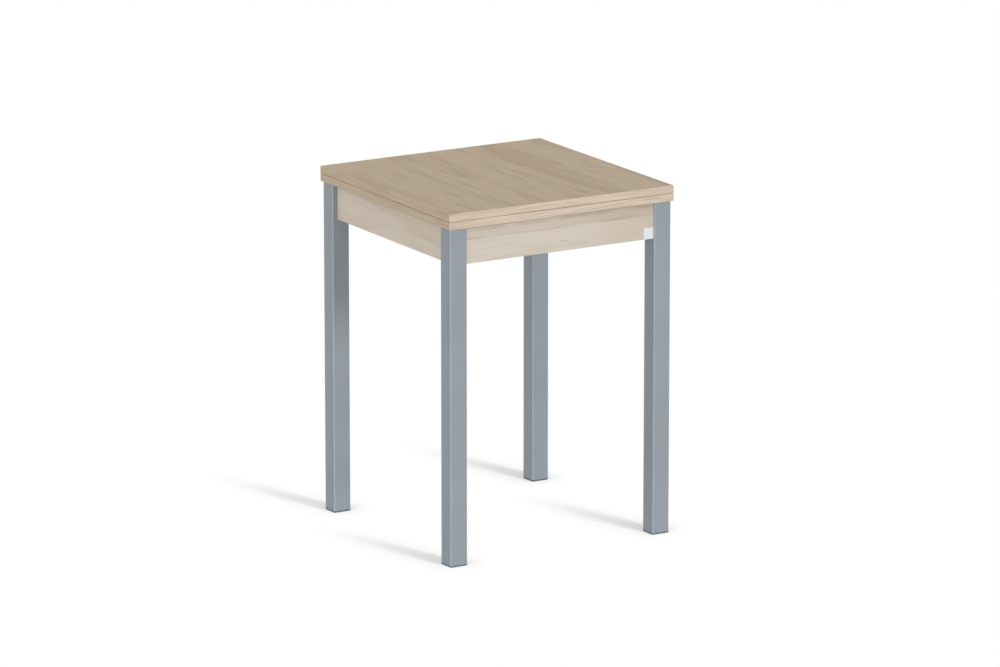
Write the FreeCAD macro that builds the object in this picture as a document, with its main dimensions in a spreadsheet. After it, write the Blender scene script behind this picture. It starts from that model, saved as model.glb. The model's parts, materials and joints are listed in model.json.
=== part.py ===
"""Swivel extending kitchen table, closed: two square leaves, one on top of the other, on a low frame.

The upper leaf folds out like the cover of a book on two butt hinges at the right-hand edge, and the
whole top turns a quarter turn on a pivot, so that the opened top lies centred over the frame. The
frame is four square steel tubes joined by chipboard aprons, and a board across it carries the pivot.

Origin: centre of the closed table, on the floor. +X runs to the right along the front apron, -Y is
the front and +Z is up. All lengths are in millimetres.
"""
import FreeCAD, Part
import os
import re

import Sketcher
from FreeCAD import Placement, Rotation, Vector

# Driving dimensions. Every size that can be set by itself is here, once.
SIZES = {
    # the top
    "top_size": 540,              # closed top, along X and along Y
    "table_height": 750,
    "leaf_board": 16,             # thickness of each leaf
    "leaf_gap": 0.8,              # air between the closed leaves, taken up by the bumpers
    "edging": 1,                  # thickness of the edge band
    "edging_round": 0.5,          # radius on the band's two long arrises
    "bumper_width": 8,            # across a bumper pad
    "bumper_inset": 25,           # bumper centre to the top's edges
    # legs
    "frame_inset": 4,             # outer face of a leg back from the edge of the top
    "leg_width": 40,
    "leg_wall": 1.5,
    "leg_corner": 2.5,            # outside radius of the tube
    "leg_inside_corner": 1,
    "foot_rim": 3,                # part of the foot cap that shows under the tube
    "glide_rim": 2,               # part of the glide cap that stands above the tube
    "rim_bevel": 0.8,             # bevel round the wearing face of both caps
    "plug_depth": 22,             # how far a cap's plug goes into the tube
    "plug_wall": 2,
    "plug_slack": 0.4,            # plug body to tube wall
    "rib_slack": 0.05,            # plug rib to tube wall
    "rib_height": 1.2,
    "rib_corner": 1.2,
    "rib_pitch": 6,
    # aprons
    "apron_board": 16,
    "apron_height": 75,
    "front_recess": 4,            # front and back aprons, back from the legs' outer faces
    "side_recess": 12,            # left and right aprons, back from the legs' outer faces
    "tab_length": 34,             # steel tab welded to the leg, behind each apron end
    "tab_height": 50,
    "tab_plate": 3,
    "tab_screw_reach": 20,        # leg face to screw
    "tab_screw_spread": 28,       # between the two screws of a tab
    "tag_size": 24,
    "tag_film": 0.3,
    # pivot board and its brackets
    "pivot_board_width": 104,
    "pivot_board_thickness": 16,
    "bracket_arm": 34,
    "bracket_width": 20,
    "bracket_plate": 2,
    "bracket_spread": 60,         # between the two brackets at each end of the board
    "bracket_screw_reach": 22,    # corner of the bracket to its screws
    # swivel fitting
    "swivel_plate": 96,           # side of both square plates
    "swivel_sheet": 3,            # their thickness
    "swivel_corner": 8,
    "swivel_screw_inset": 12,     # screw centre to the plate's edges
    "slide_ring_width": 60,       # across the nylon ring between the plates
    "slide_ring_bore": 26,
    "slide_ring_sheet": 1.5,
    "stop_circle": 38,            # radius that the stop pin travels on
    "stop_pin": 8,
    "stop_slack": 0.5,            # pin to slot, all round
    "stop_end_gap": 0.5,          # pin end to pivot board
    "swivel_turn": 90,
    "stud": 12,                   # pivot stud
    "stud_head": 20,
    "stud_head_depth": 1.5,
    "stud_end": 3,                # stud showing below the nut
    "bush_wall": 2,
    "bush_flange": 28,
    "bush_flange_sheet": 2,
    "washer": 26,
    "washer_sheet": 2,
    "spring_washer": 24,
    "spring_washer_sheet": 1.4,
    "spring_washer_rise": 0.6,    # height of its cone
    "nut_flats": 19,
    "nut_body": 10,
    "nut_collar": 4,              # the nylon-ring collar under the hexagon
    "nut_collar_width": 17,
    # leaf hinges
    "hinge_length": 60,
    "hinge_from_end": 90,         # hinge centre to the end of the fold edge
    "hinge_flap": 24,
    "hinge_sheet": 1.5,
    "hinge_pin": 2,
    "hinge_knuckles": 5,
    "knuckle_gap": 0.3,
    "knuckle_relief": 0.4,
    "hinge_screw_reach": 15,      # hinge axis to screws
    "hinge_screw_spread": 40,     # between the outer two screws of a flap
    "fold_gap": 0.6,              # between the edges of the opened leaves
    # screws
    "tab_screw": 4,
    "tab_screw_head": 8,
    "tab_screw_length": 15,
    "pan_head_rise": 2.4,
    "plate_screw": 4.5,
    "plate_screw_head": 8.5,
    "plate_screw_length": 15,
    "hinge_screw": 3,
    "hinge_screw_head": 5.6,
    "hinge_screw_length": 12,
    "cross_recess": 2.6,          # across the driver recess of every screw
    "cross_slot": 0.8,
    "cross_depth": 0.8,
    "tool_overrun": 1,            # how far a cut runs on past the face it starts from
    # fits
    "running_fit": 0.05,          # radial, shaft in a bore that turns
    "seat_fit": 0.05,             # round or beside a piece that is fixed in its seat
}

# Lengths and places that follow from the driving dimensions.
DERIVED = {
    "half_top": "top_size / 2",
    "leg_outer": "half_top - frame_inset",
    "leg_inner": "leg_outer - leg_width",
    "leg_centre": "leg_outer - leg_width / 2",
    "leaf_under": "table_height - 2 * leaf_board - leaf_gap",
    "lower_leaf_top": "leaf_under + leaf_board",
    "upper_leaf_under": "table_height - leaf_board",
    "frame_top": "leaf_under - glide_rim",
    "apron_bottom": "frame_top - apron_height",
    "front_apron_outer": "leg_outer - front_recess",
    "front_apron_inner": "front_apron_outer - apron_board",
    "side_apron_outer": "leg_outer - side_recess",
    "side_apron_inner": "side_apron_outer - apron_board",
    "tab_bottom": "apron_bottom + (apron_height - tab_height) / 2",
    "tab_middle": "apron_bottom + apron_height / 2",
    "plug_width": "leg_width - 2 * leg_wall - 2 * plug_slack",
    "rib_width": "leg_width - 2 * leg_wall - 2 * rib_slack",
    "pivot_x": "top_size / 4",
    "pivot_y": "-top_size / 4",
    "top_plate_under": "leaf_under - swivel_sheet",
    "base_plate_top": "top_plate_under - slide_ring_sheet",
    "board_top": "base_plate_top - swivel_sheet",
    "board_under": "board_top - pivot_board_thickness",
    "bush_under": "board_under - bush_flange_sheet",
    "bush_width": "stud + 2 * running_fit + 2 * bush_wall",
    "washer_under": "bush_under - washer_sheet",
    "spring_under": "washer_under - spring_washer_sheet - spring_washer_rise",
    "nut_under": "spring_under - nut_body - nut_collar",
    "stud_under": "nut_under - stud_end",
    "swivel_screw_offset": "swivel_plate / 2 - swivel_screw_inset",
    "axis_x": "half_top + fold_gap / 2",
    "axis_z": "lower_leaf_top + leaf_gap / 2",
    "knuckle": "leaf_gap / 2 + hinge_sheet",
    "knuckle_length": "hinge_length / hinge_knuckles",
}

doc = FreeCAD.newDocument("swivel_table")
sheet = doc.addObject("Spreadsheet::Sheet", "Sizes")
for row, (alias, size) in enumerate(SIZES.items(), start=1):
    sheet.set(f"A{row}", str(size))
    sheet.setAlias(f"A{row}", alias)
doc.recompute()

nodes = []
DOWN = Rotation()                              # a screw as drawn: head on top, point down
UP = Rotation(Vector(1, 0, 0), 180)
FORWARD = Rotation(Vector(1, 0, 0), -90)       # point towards -Y
LEFTWARD = Rotation(Vector(0, 1, 0), 90)       # point towards -X


def formula(text):
    """Spell out a length in the sheet's own cells: derived names first, then Sizes.alias."""
    def spell(match):
        word = match[0]
        if word in DERIVED:
            return f"({formula(DERIVED[word])})"
        return f"Sizes.{word}" if word in SIZES else word
    return re.sub(r"[a-z_]+", spell, str(text))


def bind(thing, **lengths):
    for prop, text in lengths.items():
        thing.setExpression(prop, formula(text))
    return thing


def place(thing, spot, turn=None):
    """Put an object at a spot that stays tied to the sheet."""
    thing.Placement = Placement(Vector(), turn or Rotation())
    for letter, text in zip("xyz", spot):
        thing.setExpression(f"Placement.Base.{letter}", formula(text))
    return thing


def keep(thing):
    """Mark an object as a piece of the table, which is written out under its own name."""
    nodes.append(thing)
    return thing


def box(name, size, corner):
    block = doc.addObject("Part::Box", name)
    bind(block, Length=size[0], Width=size[1], Height=size[2])
    return place(block, corner)


def cylinder(name, width, length, foot, turn=None):
    """Round bar of the given width (diameter), standing on its foot along +Z before it is turned."""
    bar = doc.addObject("Part::Cylinder", name)
    bind(bar, Radius=f"({width}) / 2", Height=length)
    return place(bar, foot, turn)


def cone(name, low_width, high_width, length, foot):
    bar = doc.addObject("Part::Cone", name)
    bind(bar, Radius1=f"({low_width}) / 2", Radius2=f"({high_width}) / 2", Height=length)
    return place(bar, foot)


def fuse(name, shapes):
    joined = doc.addObject("Part::MultiFuse", name)
    joined.Shapes = shapes
    return joined


def cut(name, base, tools):
    """Base with every tool taken away."""
    tool = tools[0] if len(tools) == 1 else group(f"{name}_tools", tools)
    result = doc.addObject("Part::Cut", name)
    result.Base = base
    result.Tool = tool
    return result


def group(name, shapes):
    """Like pieces that share one node, each still a solid of its own."""
    bundle = doc.addObject("Part::Compound", name)
    bundle.Links = shapes
    return bundle


def mirror(name, source, normal):
    """Reflection through the middle plane of the table whose normal is given."""
    image = doc.addObject("Part::Mirroring", name)
    image.Source = source
    image.Normal = normal
    return image


ACROSS = Vector(1, 0, 0)                       # left and right change places
ALONG = Vector(0, 1, 0)                        # front and back change places


def four_corners(stem, front_left):
    """The front left piece and its three reflections, each a node of its own."""
    front_right = mirror(f"{stem}_front_right", front_left, ACROSS)
    back_left = mirror(f"{stem}_back_left", front_left, ALONG)
    back_right = mirror(f"{stem}_back_right", front_right, ALONG)
    for piece in (front_left, front_right, back_left, back_right):
        keep(piece)


def copies(name, master, spots):
    """One master, linked to at each (spot, turn), as a single group."""
    links = []
    for count, (spot, turn) in enumerate(spots, start=1):
        link = doc.addObject("App::Link", f"{name}_{count}")
        link.LinkedObject = master
        links.append(place(link, spot, turn))
    return group(name, links)


def all_corners(name, front_left):
    """The front left group and its three reflections, as a single group."""
    front_right = mirror(f"{name}_front_right", front_left, ACROSS)
    back_left = mirror(f"{name}_back_left", front_left, ALONG)
    back_right = mirror(f"{name}_back_right", front_right, ALONG)
    return group(name, [front_left, front_right, back_left, back_right])


def rectangle(body, name, width, depth):
    """Sketch of a rectangle, centred on the body's own origin, on its XY plane."""
    sketch = body.newObject("Sketcher::SketchObject", name)
    plane = [feature for feature in body.Origin.OriginFeatures if feature.Role == "XY_Plane"][0]
    sketch.AttachmentSupport = [(plane, "")]
    sketch.MapMode = "FlatFace"
    corners = [Vector(-1, -1, 0), Vector(1, -1, 0), Vector(1, 1, 0), Vector(-1, 1, 0)]
    for side in range(4):
        sketch.addGeometry(Part.LineSegment(corners[side], corners[(side + 1) % 4]), False)
    for side in range(4):
        sketch.addConstraint(Sketcher.Constraint("Coincident", side, 2, (side + 1) % 4, 1))
        direction = "Horizontal" if side % 2 == 0 else "Vertical"
        sketch.addConstraint(Sketcher.Constraint(direction, side))
    sketch.addConstraint(Sketcher.Constraint("Symmetric", 0, 1, 2, 1, -1, 1))
    for side, kind, label, length in ((0, "DistanceX", "width", width), (1, "DistanceY", "depth", depth)):
        index = sketch.addConstraint(Sketcher.Constraint(kind, side, 1, side, 2, 2.0))
        sketch.renameConstraint(index, label)
        sketch.setExpression(f"Constraints.{label}", formula(length))
    return sketch


def upright_edges(shape):
    """Names of the straight edges that stand along Z."""
    names = []
    for count, edge in enumerate(shape.Edges, start=1):
        first, last = edge.Vertexes[0].Point, edge.Vertexes[-1].Point
        if abs(first.x - last.x) < 1e-6 and abs(first.y - last.y) < 1e-6:
            names.append(f"Edge{count}")
    return names


def low_edges(shape):
    """Names of the edges round the lowest face."""
    floor = shape.BoundBox.ZMin
    return [f"Edge{count}" for count, edge in enumerate(shape.Edges, start=1)
            if edge.BoundBox.ZMax - floor < 1e-6]


def rounded_plate(name, width, depth, thickness, corner, bevel=None):
    """Flat plate with rounded corners, standing on its body's origin; bevel goes round its low face."""
    body = doc.addObject("PartDesign::Body", name)
    pad = body.newObject("PartDesign::Pad", f"{name}_pad")
    pad.Profile = rectangle(body, f"{name}_outline", width, depth)
    bind(pad, Length=thickness)
    doc.recompute()
    rounding = body.newObject("PartDesign::Fillet", f"{name}_corners")
    rounding.Base = (pad, upright_edges(pad.Shape))
    bind(rounding, Radius=corner)
    doc.recompute()
    if bevel:
        edge = body.newObject("PartDesign::Chamfer", f"{name}_bevel")
        edge.Base = (rounding, low_edges(rounding.Shape))
        bind(edge, Size=bevel)
        doc.recompute()
    return body


def screw_body(name, shank, length, play="0"):
    """Shank and point of a wood screw that starts at the origin and points down."""
    width = f"({shank} + 2 * {play})"
    straight = f"({length} - {shank})"         # the point is as long as the shank is wide
    return [
        cylinder(f"{name}_shank", width, f"{straight} + {play}", (0, 0, f"-{straight} - {play}")),
        cone(f"{name}_point", f"{width} / 4", width, f"{shank} + {play}",
             (0, 0, f"-{length} - 2 * {play}")),
    ]


def countersunk(name, shank, head, play="0"):
    """Cone under a flat head, its face at the origin."""
    sink = f"({head} - {shank}) / 2"
    return cone(f"{name}_head", f"{shank} + 2 * {play}", f"{head} + 2 * {play}", sink,
                (0, 0, f"-{sink}"))


def with_recess(name, blank, face):
    """Cross recess for the driver, cut into a screw whose head ends at the level of face."""
    long_side, short_side = "cross_recess", "cross_slot"
    slots = [box(f"{name}_slot_{count}", (across, along, "cross_depth"),
                 (f"-{across} / 2", f"-{along} / 2", f"{face} - cross_depth"))
             for count, (across, along) in enumerate(((long_side, short_side),
                                                      (short_side, long_side)))]
    return cut(name, blank, slots)


def flat_head_screw(name, shank, head, length):
    """Countersunk wood screw and the hole for it, the face of the head at the origin."""
    hole = f"{name}_hole"
    blank = fuse(f"{name}_blank", [countersunk(name, shank, head), *screw_body(name, shank, length)])
    room = fuse(hole, [countersunk(hole, shank, head, "seat_fit"),
                       *screw_body(hole, shank, length, "seat_fit"),
                       cylinder(f"{hole}_mouth", f"{head} + 2 * seat_fit", "tool_overrun", (0, 0, 0))])
    return with_recess(name, blank, "0"), room


def pan_head_screw(name, shank, head, rise, length):
    """Wood screw with a raised head and the hole for it, the underside of the head at the origin."""
    hole = f"{name}_hole"
    blank = fuse(f"{name}_blank", [cone(f"{name}_head", head, f"{head} * 0.6", rise, (0, 0, 0)),
                                   *screw_body(name, shank, length)])
    room = fuse(hole, screw_body(hole, shank, length, "seat_fit"))
    return with_recess(name, blank, rise), room


# ---------------------------------------------------------------------------------------------
# Screws and the holes for them
# ---------------------------------------------------------------------------------------------
frame_screw, frame_screw_hole = pan_head_screw("frame_screw", "tab_screw", "tab_screw_head",
                                               "pan_head_rise", "tab_screw_length")
plate_screw, plate_screw_hole = flat_head_screw("plate_screw", "plate_screw", "plate_screw_head",
                                                "plate_screw_length")
hinge_screw, hinge_screw_hole = flat_head_screw("hinge_screw", "hinge_screw", "hinge_screw_head",
                                                "hinge_screw_length")

# ---------------------------------------------------------------------------------------------
# Legs: square steel tube, closed below by a ribbed plastic foot and above by a nylon glide cap
# ---------------------------------------------------------------------------------------------
leg_spot = ("-leg_centre", "-leg_centre")


def leg():
    tube = rounded_plate("leg_outside", "leg_width", "leg_width", "frame_top - foot_rim", "leg_corner")
    bore = rounded_plate("leg_inside", "leg_width - 2 * leg_wall", "leg_width - 2 * leg_wall",
                         "frame_top - foot_rim", "leg_inside_corner")
    for body in (tube, bore):
        place(body, (*leg_spot, "foot_rim"))
    return cut("leg_front_left", tube, [bore])


def plug_cap(stem, rim, rim_foot, turn, plug_foot, first_rib, rib_step):
    """Plastic cap: a rim as wide as the tube, and a hollow plug with ribs that grip inside it."""
    rim_plate = rounded_plate(f"{stem}_rim", "leg_width", "leg_width", rim, "leg_corner", "rim_bevel")
    place(rim_plate, (*leg_spot, rim_foot), turn)
    half = "plug_width / 2"
    plug = box(f"{stem}_plug", ("plug_width", "plug_width", "plug_depth"),
               (f"-leg_centre - {half}", f"-leg_centre - {half}", plug_foot))
    hollow = box(f"{stem}_hollow",
                 ("plug_width - 2 * plug_wall", "plug_width - 2 * plug_wall", "plug_depth"),
                 (f"-leg_centre - {half} + plug_wall", f"-leg_centre - {half} + plug_wall", plug_foot))
    ribs = [place(rounded_plate(f"{stem}_rib_{count}", "rib_width", "rib_width", "rib_height",
                                "rib_corner"),
                  (*leg_spot, f"{first_rib} + {count} * {rib_step}"))
            for count in range(3)]
    skirt = cut(f"{stem}_skirt", fuse(f"{stem}_ribbed", [plug, *ribs]), [hollow])
    return fuse(f"{stem}_front_left", [rim_plate, skirt])


four_corners("leg", leg())
four_corners("foot_cap", plug_cap("foot_cap", "foot_rim", "0", DOWN, "foot_rim",
                                  "foot_rim + rib_pitch / 2", "rib_pitch"))
four_corners("glide_cap", plug_cap("glide_cap", "glide_rim", "leaf_under", UP,
                                   "frame_top - plug_depth",
                                   "frame_top - rib_pitch / 2 - rib_height", "(-rib_pitch)"))

# ---------------------------------------------------------------------------------------------
# Tabs welded to the legs, and the screws that hold the aprons to them
# ---------------------------------------------------------------------------------------------
front_tab = box("front_tab", ("tab_length", "tab_plate", "tab_height"),
                ("-leg_inner", "-front_apron_inner", "tab_bottom"))
side_tab = box("side_tab", ("tab_plate", "tab_length", "tab_height"),
               ("-side_apron_inner", "-leg_inner", "tab_bottom"))
tab_screw_spots = []
for level in ("tab_middle - tab_screw_spread / 2", "tab_middle + tab_screw_spread / 2"):
    tab_screw_spots.append((("-leg_inner + tab_screw_reach", "-front_apron_inner + tab_plate", level),
                            FORWARD))
    tab_screw_spots.append((("-side_apron_inner + tab_plate", "-leg_inner + tab_screw_reach", level),
                            LEFTWARD))
tab_holes = all_corners("tab_screw_holes",
                        copies("tab_screw_hole", frame_screw_hole, tab_screw_spots))
tab_pair = cut("tab_pair", group("tab_blanks", [front_tab, side_tab]), [tab_holes])
keep(all_corners("leg_tabs", tab_pair))
keep(all_corners("tab_screws", copies("tab_screw_set", frame_screw, tab_screw_spots)))

# ---------------------------------------------------------------------------------------------
# Pivot board and the steel angles that hang it between the front and back aprons
# ---------------------------------------------------------------------------------------------
bracket_screw_spots = []
bracket_blanks = []
for side, shift in (("left", "-bracket_spread / 2"), ("right", "bracket_spread / 2")):
    middle = f"pivot_x + {shift}"
    bracket_blanks.append(fuse(f"bracket_{side}", [
        box(f"bracket_{side}_wall", ("bracket_width", "bracket_plate", "bracket_arm"),
            (f"{middle} - bracket_width / 2", "-front_apron_inner", "board_under - bracket_arm")),
        box(f"bracket_{side}_shelf", ("bracket_width", "bracket_arm", "bracket_plate"),
            (f"{middle} - bracket_width / 2", "-front_apron_inner", "board_under - bracket_plate")),
    ]))
    bracket_screw_spots.append(((middle, "-front_apron_inner + bracket_plate",
                                 "board_under - bracket_screw_reach"), FORWARD))
    bracket_screw_spots.append(((middle, "-front_apron_inner + bracket_screw_reach",
                                 "board_under - bracket_plate"), UP))


def both_ends(name, front):
    return group(name, [front, mirror(f"{name}_back", front, ALONG)])


bracket_holes = both_ends("bracket_screw_holes",
                          copies("bracket_screw_hole", frame_screw_hole, bracket_screw_spots))
keep(both_ends("pivot_board_brackets",
               cut("brackets_front", group("bracket_blanks", bracket_blanks), [bracket_holes])))
keep(both_ends("bracket_screws", copies("bracket_screw_set", frame_screw, bracket_screw_spots)))

# ---------------------------------------------------------------------------------------------
# Aprons: chipboard faced on both sides, banded along the bottom edge
# ---------------------------------------------------------------------------------------------
apron_run = "2 * leg_inner"
front_apron = cut("apron_front",
                  box("apron_front_board", (apron_run, "apron_board", "apron_height - edging"),
                      ("-leg_inner", "-front_apron_outer", "apron_bottom + edging")),
                  [tab_holes, bracket_holes])
left_apron = cut("apron_left",
                 box("apron_left_board", ("apron_board", apron_run, "apron_height - edging"),
                     ("-side_apron_outer", "-leg_inner", "apron_bottom + edging")),
                 [tab_holes])
for apron in (front_apron, mirror("apron_back", front_apron, ALONG),
              left_apron, mirror("apron_right", left_apron, ACROSS)):
    keep(apron)
front_band = box("apron_front_band", (apron_run, "apron_board", "edging"),
                 ("-leg_inner", "-front_apron_outer", "apron_bottom"))
left_band = box("apron_left_band", ("apron_board", apron_run, "edging"),
                ("-side_apron_outer", "-leg_inner", "apron_bottom"))
keep(group("apron_edging", [front_band, mirror("apron_back_band", front_band, ALONG),
                            left_band, mirror("apron_right_band", left_band, ACROSS)]))
keep(box("blank_tag", ("tag_size", "tag_film", "tag_size"),
         ("leg_inner - tag_size", "-front_apron_outer - tag_film", "apron_bottom")))

# ---------------------------------------------------------------------------------------------
# Swivel fitting, fixed half: board, base plate with its stop slot, nylon ring and bush
# ---------------------------------------------------------------------------------------------
pivot = ("pivot_x", "pivot_y")


def on_pivot(level):
    return (*pivot, level)


def corner_spots(level, turn):
    """The four screws of a swivel plate."""
    return [((f"pivot_x + {across} * swivel_screw_offset", f"pivot_y + {along} * swivel_screw_offset",
              level), turn) for across in (-1, 1) for along in (-1, 1)]


base_spots = corner_spots("base_plate_top", DOWN)
base_holes = copies("base_plate_screw_holes", plate_screw_hole, base_spots)
bush_room = cylinder("bush_room", "bush_width + 2 * seat_fit", "base_plate_top - board_under",
                     on_pivot("board_under"))
keep(cut("pivot_board",
         box("pivot_board_blank", ("pivot_board_width", "2 * front_apron_inner",
                                   "pivot_board_thickness"),
             ("pivot_x - pivot_board_width / 2", "-front_apron_inner", "board_under")),
         [bush_room, base_holes, bracket_holes]))


def stop_slot():
    """Quarter ring that the stop pin travels in, with a round end at each limit."""
    width = "stop_pin + 2 * stop_slack"
    sector = cylinder("slot_sector", f"2 * stop_circle + {width}", "swivel_sheet",
                      on_pivot("board_top"), Rotation(Vector(0, 0, 1), 180))
    bind(sector, Angle="swivel_turn")
    core = cylinder("slot_core", f"2 * stop_circle - ({width})", "swivel_sheet",
                    on_pivot("board_top"))
    ends = [cylinder(f"slot_end_{count}", width, "swivel_sheet",
                     (f"pivot_x - stop_circle * cos({angle})", f"pivot_y - stop_circle * sin({angle})",
                      "board_top"))
            for count, angle in enumerate(("0", "swivel_turn"), start=1)]
    return fuse("stop_slot", [cut("slot_ring", sector, [core]), *ends])


def swivel_plate_blank(name, level):
    return place(rounded_plate(name, "swivel_plate", "swivel_plate", "swivel_sheet", "swivel_corner"),
                 on_pivot(level))


keep(cut("swivel_base_plate", swivel_plate_blank("base_plate_blank", "board_top"),
         [stop_slot(), bush_room, base_holes]))
keep(copies("base_plate_screws", plate_screw, base_spots))
keep(cut("slide_ring",
         cylinder("slide_ring_disc", "slide_ring_width", "slide_ring_sheet", on_pivot("base_plate_top")),
         [cylinder("slide_ring_hole", "slide_ring_bore", "slide_ring_sheet",
                   on_pivot("base_plate_top"))]))
keep(cut("pivot_bush",
         fuse("bush_blank", [
             cylinder("bush_tube", "bush_width", "base_plate_top - bush_under", on_pivot("bush_under")),
             cylinder("bush_collar", "bush_flange", "bush_flange_sheet", on_pivot("bush_under"))]),
         [cylinder("bush_bore", "stud + 2 * running_fit", "base_plate_top - bush_under",
                   on_pivot("bush_under"))]))

# ---------------------------------------------------------------------------------------------
# Swivel fitting, turning half: top plate under the lower leaf, stop pin, stud, washers and nut
# ---------------------------------------------------------------------------------------------
top_spots = corner_spots("top_plate_under", UP)
top_holes = copies("top_plate_screw_holes", plate_screw_hole, top_spots)
pin_spot = ("pivot_x - stop_circle", "pivot_y")
stud_room = fuse("stud_room", [
    cylinder("stud_room_shank", "stud + 2 * seat_fit", "swivel_sheet", on_pivot("top_plate_under")),
    cylinder("stud_room_head", "stud_head + 2 * seat_fit", "stud_head_depth",
             on_pivot("leaf_under - stud_head_depth"))])
keep(cut("swivel_top_plate", swivel_plate_blank("top_plate_blank", "top_plate_under"),
         [stud_room, top_holes,
          cylinder("stop_pin_room", "stop_pin + 2 * seat_fit", "swivel_sheet",
                   (*pin_spot, "top_plate_under"))]))
keep(copies("top_plate_screws", plate_screw, top_spots))
keep(cylinder("stop_pin", "stop_pin", "leaf_under - board_top - stop_end_gap",
              (*pin_spot, "board_top + stop_end_gap")))
keep(fuse("pivot_stud", [
    cylinder("stud_shank", "stud", "leaf_under - stud_under", on_pivot("stud_under")),
    cylinder("stud_head_disc", "stud_head", "stud_head_depth",
             on_pivot("leaf_under - stud_head_depth"))]))


def ring(name, width, level, rise):
    """Flat ring round the stud."""
    return cut(name, cylinder(f"{name}_disc", width, rise, on_pivot(level)),
               [cylinder(f"{name}_hole", "stud + 2 * seat_fit", rise, on_pivot(level))])


def spring_washer():
    """Disc spring: a shallow cone of even thickness, its wide rim up against the flat washer."""
    bore = "stud + 2 * seat_fit"
    sheet_level = "spring_under + spring_washer_sheet"
    blank = fuse("spring_blank", [
        cone("spring_cone", bore, "spring_washer", "spring_washer_rise", on_pivot("spring_under")),
        cylinder("spring_rim", "spring_washer", "spring_washer_sheet",
                 on_pivot("spring_under + spring_washer_rise"))])
    return cut("spring_washer", blank, [
        cone("spring_dish", bore, "spring_washer", "spring_washer_rise", on_pivot(sheet_level)),
        cylinder("spring_hole", bore, "washer_under - spring_under", on_pivot("spring_under"))])


keep(ring("pivot_washer", "washer", "washer_under", "washer_sheet"))
keep(spring_washer())
nut_hexagon = doc.addObject("Part::Prism", "nut_hexagon")
nut_hexagon.Polygon = 6
bind(nut_hexagon, Circumradius="nut_flats / sqrt(3)", Height="nut_body")
place(nut_hexagon, on_pivot("nut_under + nut_collar"))
keep(cut("pivot_lock_nut",
         fuse("nut_blank", [nut_hexagon,
                            cylinder("nut_collar_ring", "nut_collar_width", "nut_collar",
                                     on_pivot("nut_under"))]),
         [cylinder("nut_hole", "stud + 2 * seat_fit", "nut_body + nut_collar",
                   on_pivot("nut_under"))]))

# ---------------------------------------------------------------------------------------------
# Leaf hinges: butt hinges let into the facing sides of the leaves, the pin on the fold line
# ---------------------------------------------------------------------------------------------
hinge_middle = "hinge_from_end - half_top"
hinge_near = f"{hinge_middle} - hinge_length / 2"
ALONG_Y = Rotation(Vector(1, 0, 0), -90)       # turns a bar that stands along +Z to lie along +Y
FLAP_FOOT = {"lower": "axis_z - knuckle", "upper": "axis_z + leaf_gap / 2"}
GROOVE_FOOT = {"lower": "axis_z - knuckle - knuckle_relief", "upper": "axis_z + leaf_gap / 2"}
FLAP_FACE = {"lower": "axis_z - leaf_gap / 2", "upper": "axis_z + leaf_gap / 2"}
SCREW_TURN = {"lower": DOWN, "upper": UP}


def hinge_screw_spots(side):
    return [(("axis_x - hinge_screw_reach", f"{hinge_middle} + {step} * hinge_screw_spread / 2",
              FLAP_FACE[side]), SCREW_TURN[side]) for step in (-1, 0, 1)]


def mortise(side):
    """Cuts in a leaf: a seat for each flap, a groove where the other flap's knuckles turn, holes."""
    seat = box(f"mortise_{side}_seat",
               ("hinge_flap + seat_fit", "hinge_length + 2 * seat_fit", "hinge_sheet"),
               ("axis_x - hinge_flap - seat_fit", f"{hinge_near} - seat_fit", FLAP_FOOT[side]))
    groove = box(f"mortise_{side}_groove",
                 ("knuckle + knuckle_relief", "hinge_length + 2 * seat_fit",
                  "hinge_sheet + knuckle_relief"),
                 ("axis_x - knuckle - knuckle_relief", f"{hinge_near} - seat_fit", GROOVE_FOOT[side]))
    front = fuse(f"mortise_{side}", [seat, groove])
    holes = copies(f"hinge_holes_{side}", hinge_screw_hole, hinge_screw_spots(side))
    return [both_ends(f"mortises_{side}", front), both_ends(f"hinge_screw_holes_{side}", holes)]


def hinge_half(side, first_knuckle):
    """One flap with its knuckles; the other flap's knuckles turn in the spaces between."""
    flap = box(f"flap_{side}", ("hinge_flap", "hinge_length", "hinge_sheet"),
               ("axis_x - hinge_flap", hinge_near, FLAP_FOOT[side]))
    barrel = cylinder(f"barrel_{side}", "2 * knuckle", "hinge_length", ("axis_x", hinge_near, "axis_z"),
                      ALONG_Y)
    tools = [cylinder(f"pin_room_{side}", "hinge_pin + 2 * running_fit", "hinge_length",
                      ("axis_x", hinge_near, "axis_z"), ALONG_Y)]
    reach = "knuckle + knuckle_relief"
    for count in range(SIZES["hinge_knuckles"]):
        if count % 2 == first_knuckle:
            continue
        tools.append(box(f"space_{side}_{count}",
                         (f"2 * ({reach})", "knuckle_length + 2 * knuckle_gap", f"2 * ({reach})"),
                         (f"axis_x - ({reach})", f"{hinge_near} + {count} * knuckle_length - knuckle_gap",
                          f"axis_z - ({reach})")))
    tools.append(copies(f"flap_screw_holes_{side}", hinge_screw_hole, hinge_screw_spots(side)))
    return cut(f"hinge_front_{side}_half", fuse(f"hinge_blank_{side}", [flap, barrel]), tools)


for side, first_knuckle in (("lower", 0), ("upper", 1)):
    half = keep(hinge_half(side, first_knuckle))
    keep(mirror(f"hinge_back_{side}_half", half, ALONG))
    keep(both_ends(f"{side}_hinge_screws",
                   copies(f"hinge_screw_set_{side}", hinge_screw, hinge_screw_spots(side))))
keep(both_ends("hinge_pins",
               cylinder("hinge_pin_front", "hinge_pin", "hinge_length",
                        ("axis_x", hinge_near, "axis_z"), ALONG_Y)))

# ---------------------------------------------------------------------------------------------
# Leaves: chipboard faced on both sides, with a plastic band round all four edges
# ---------------------------------------------------------------------------------------------


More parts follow.
